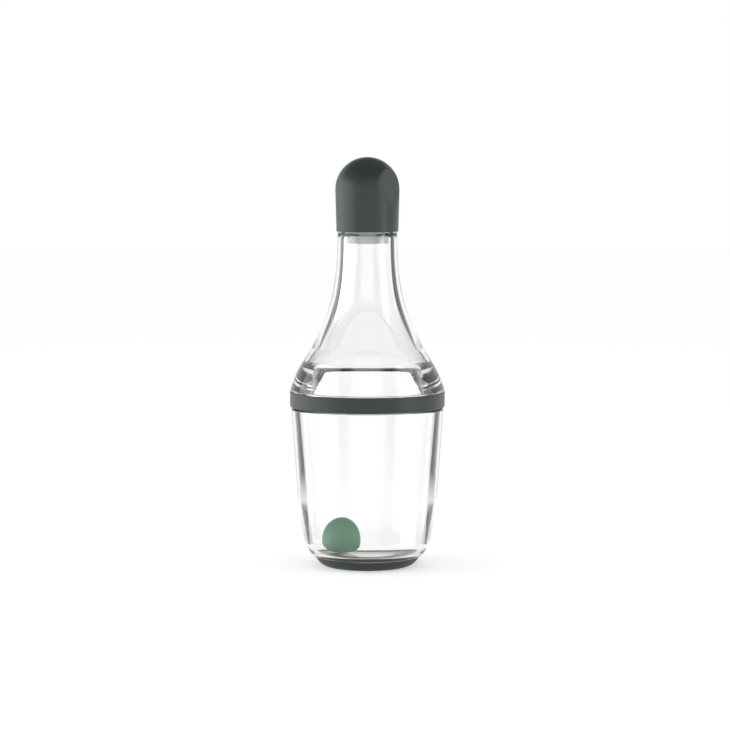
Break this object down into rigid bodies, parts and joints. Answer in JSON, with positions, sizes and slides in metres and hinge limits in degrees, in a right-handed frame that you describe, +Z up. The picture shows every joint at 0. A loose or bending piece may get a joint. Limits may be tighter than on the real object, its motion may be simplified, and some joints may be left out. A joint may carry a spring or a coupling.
{
  "type": "salad dressing shaker bottle",
  "caption": "Clear two-part shaker bottle with a measuring cup, bell-shaped top, dark band, dark foot ring, domed twist cap over a pour spout, and a loose mixing ball.",
  "frame": {"origin": "middle of the foot's standing face, on the surface the bottle stands on", "axes": "+Z up along the bottle's axis, the front with the printed scale faces -Y, +X is to the right seen from the front"},
  "size_m": [0.0698, 0.0698, 0.184],
  "materials": {
    "lower_cup": "clear, polished",
    "foot_ring": "soft satin",
    "shaker_ball": "soft satin",
    "joint_gasket": "translucent matt",
    "middle_band": "satin",
    "upper_body": "clear, polished",
    "pour_spout": "natural, translucent",
    "spout_gasket": "translucent matt",
    "cap_shell": "satin",
    "cap_liner": "natural",
    "cap_seal": "matt"
  },
  "bodies": {
    "cup": {"lower_cup": "lower_cup", "foot_ring": "foot_ring"},
    "ball": {"shaker_ball": "shaker_ball"},
    "joint_seal": {"joint_gasket": "joint_gasket"},
    "bell": {"upper_body": "upper_body", "middle_band": "middle_band", "pour_spout": "pour_spout", "spout_gasket": "spout_gasket"},
    "spout_closure": {"cap_seal": "cap_seal"},
    "cap": {"cap_shell": "cap_shell", "cap_liner": "cap_liner"}
  },
  "joints": [
    {"name": "ball_bounce", "type": "slide", "parent": "cup", "child": "ball", "axis": [0, 0, 1], "range_m": [0, 0.08]},
    {"name": "bell_rise", "type": "slide", "parent": "cup", "child": "joint_seal", "axis": [0, 0, 1], "range_m": [0, 0.0201]},
    {"name": "bell_turn", "type": "hinge", "parent": "joint_seal", "child": "bell", "pos_m": [0, 0, 0.075], "axis": [0, 0, 1], "range_deg": [0, 900]},
    {"name": "cap_rise", "type": "slide", "parent": "bell", "child": "spout_closure", "axis": [0, 0, 1], "range_m": [0, 0.0401]},
    {"name": "cap_turn", "type": "hinge", "parent": "spout_closure", "child": "cap", "pos_m": [0, 0, 0.157], "axis": [0, 0, 1], "range_deg": [0, 900]}
  ],
  "couplings": [
    {"joint": "bell_rise", "follows": "bell_turn", "m_per_rad": 0.0012732},
    {"joint": "cap_rise", "follows": "cap_turn", "m_per_rad": 0.0025465}
  ]
}
